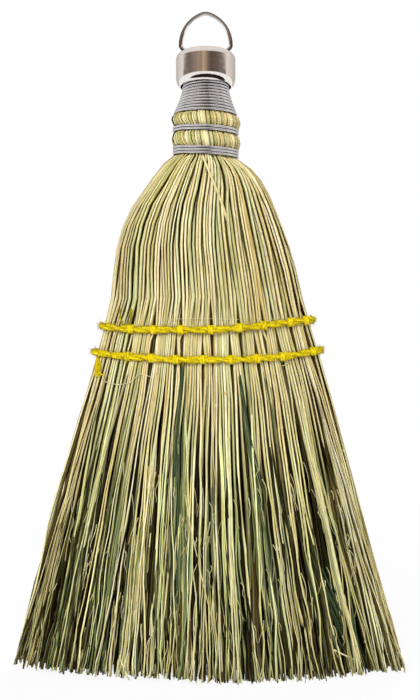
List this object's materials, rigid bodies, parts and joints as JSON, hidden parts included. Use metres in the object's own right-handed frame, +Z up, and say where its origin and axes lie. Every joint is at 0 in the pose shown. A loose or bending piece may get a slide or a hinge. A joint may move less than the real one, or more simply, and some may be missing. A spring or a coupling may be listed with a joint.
{
  "type": "whisk broom",
  "caption": "Flat flared hand whisk broom of broomcorn with a wire-bound neck, pressed metal cap, swinging wire ring and rows of sewn yellow twine.",
  "frame": {"origin": "centre of the trimmed tips, on the plane that they end in", "axes": "+Z up along the neck to the hanging ring, +X along the broad side, the pictured front faces -Y"},
  "size_m": [0.1574, 0.0396, 0.2621],
  "materials": {
    "corn": "dry broomcorn straw, pale yellow with tan and green stalks",
    "cap_metal": "nickel-plated pressed steel, polished",
    "ring_metal": "nickel-plated steel wire, polished",
    "binding_wire": "galvanised steel wire, dull bright",
    "twine": "twisted yellow twine, slightly glossy"
  },
  "bodies": {
    "broom": {"inside_corn": "corn", "left_shoulder_corn": "corn", "right_shoulder_corn": "corn", "front_cover_corn": "corn", "back_cover_corn": "corn", "neck_winding": "binding_wire", "middle_wire_band": "binding_wire", "lower_wire_band": "binding_wire", "inner_tie_wire": "binding_wire", "upper_twine_band": "twine", "lower_twine_band": "twine", "upper_stitches": "twine", "lower_stitches": "twine", "twine_tails": "twine", "cap_shell": "cap_metal"},
    "hanger": {"hanger_ring": "ring_metal"}
  },
  "joints": [
    {"name": "hanger_swing", "type": "hinge", "parent": "broom", "child": "hanger", "pos_m": [0, 0, 0.24357], "axis": [1, 0, 0], "range_deg": [-45, 45]}
  ]
}
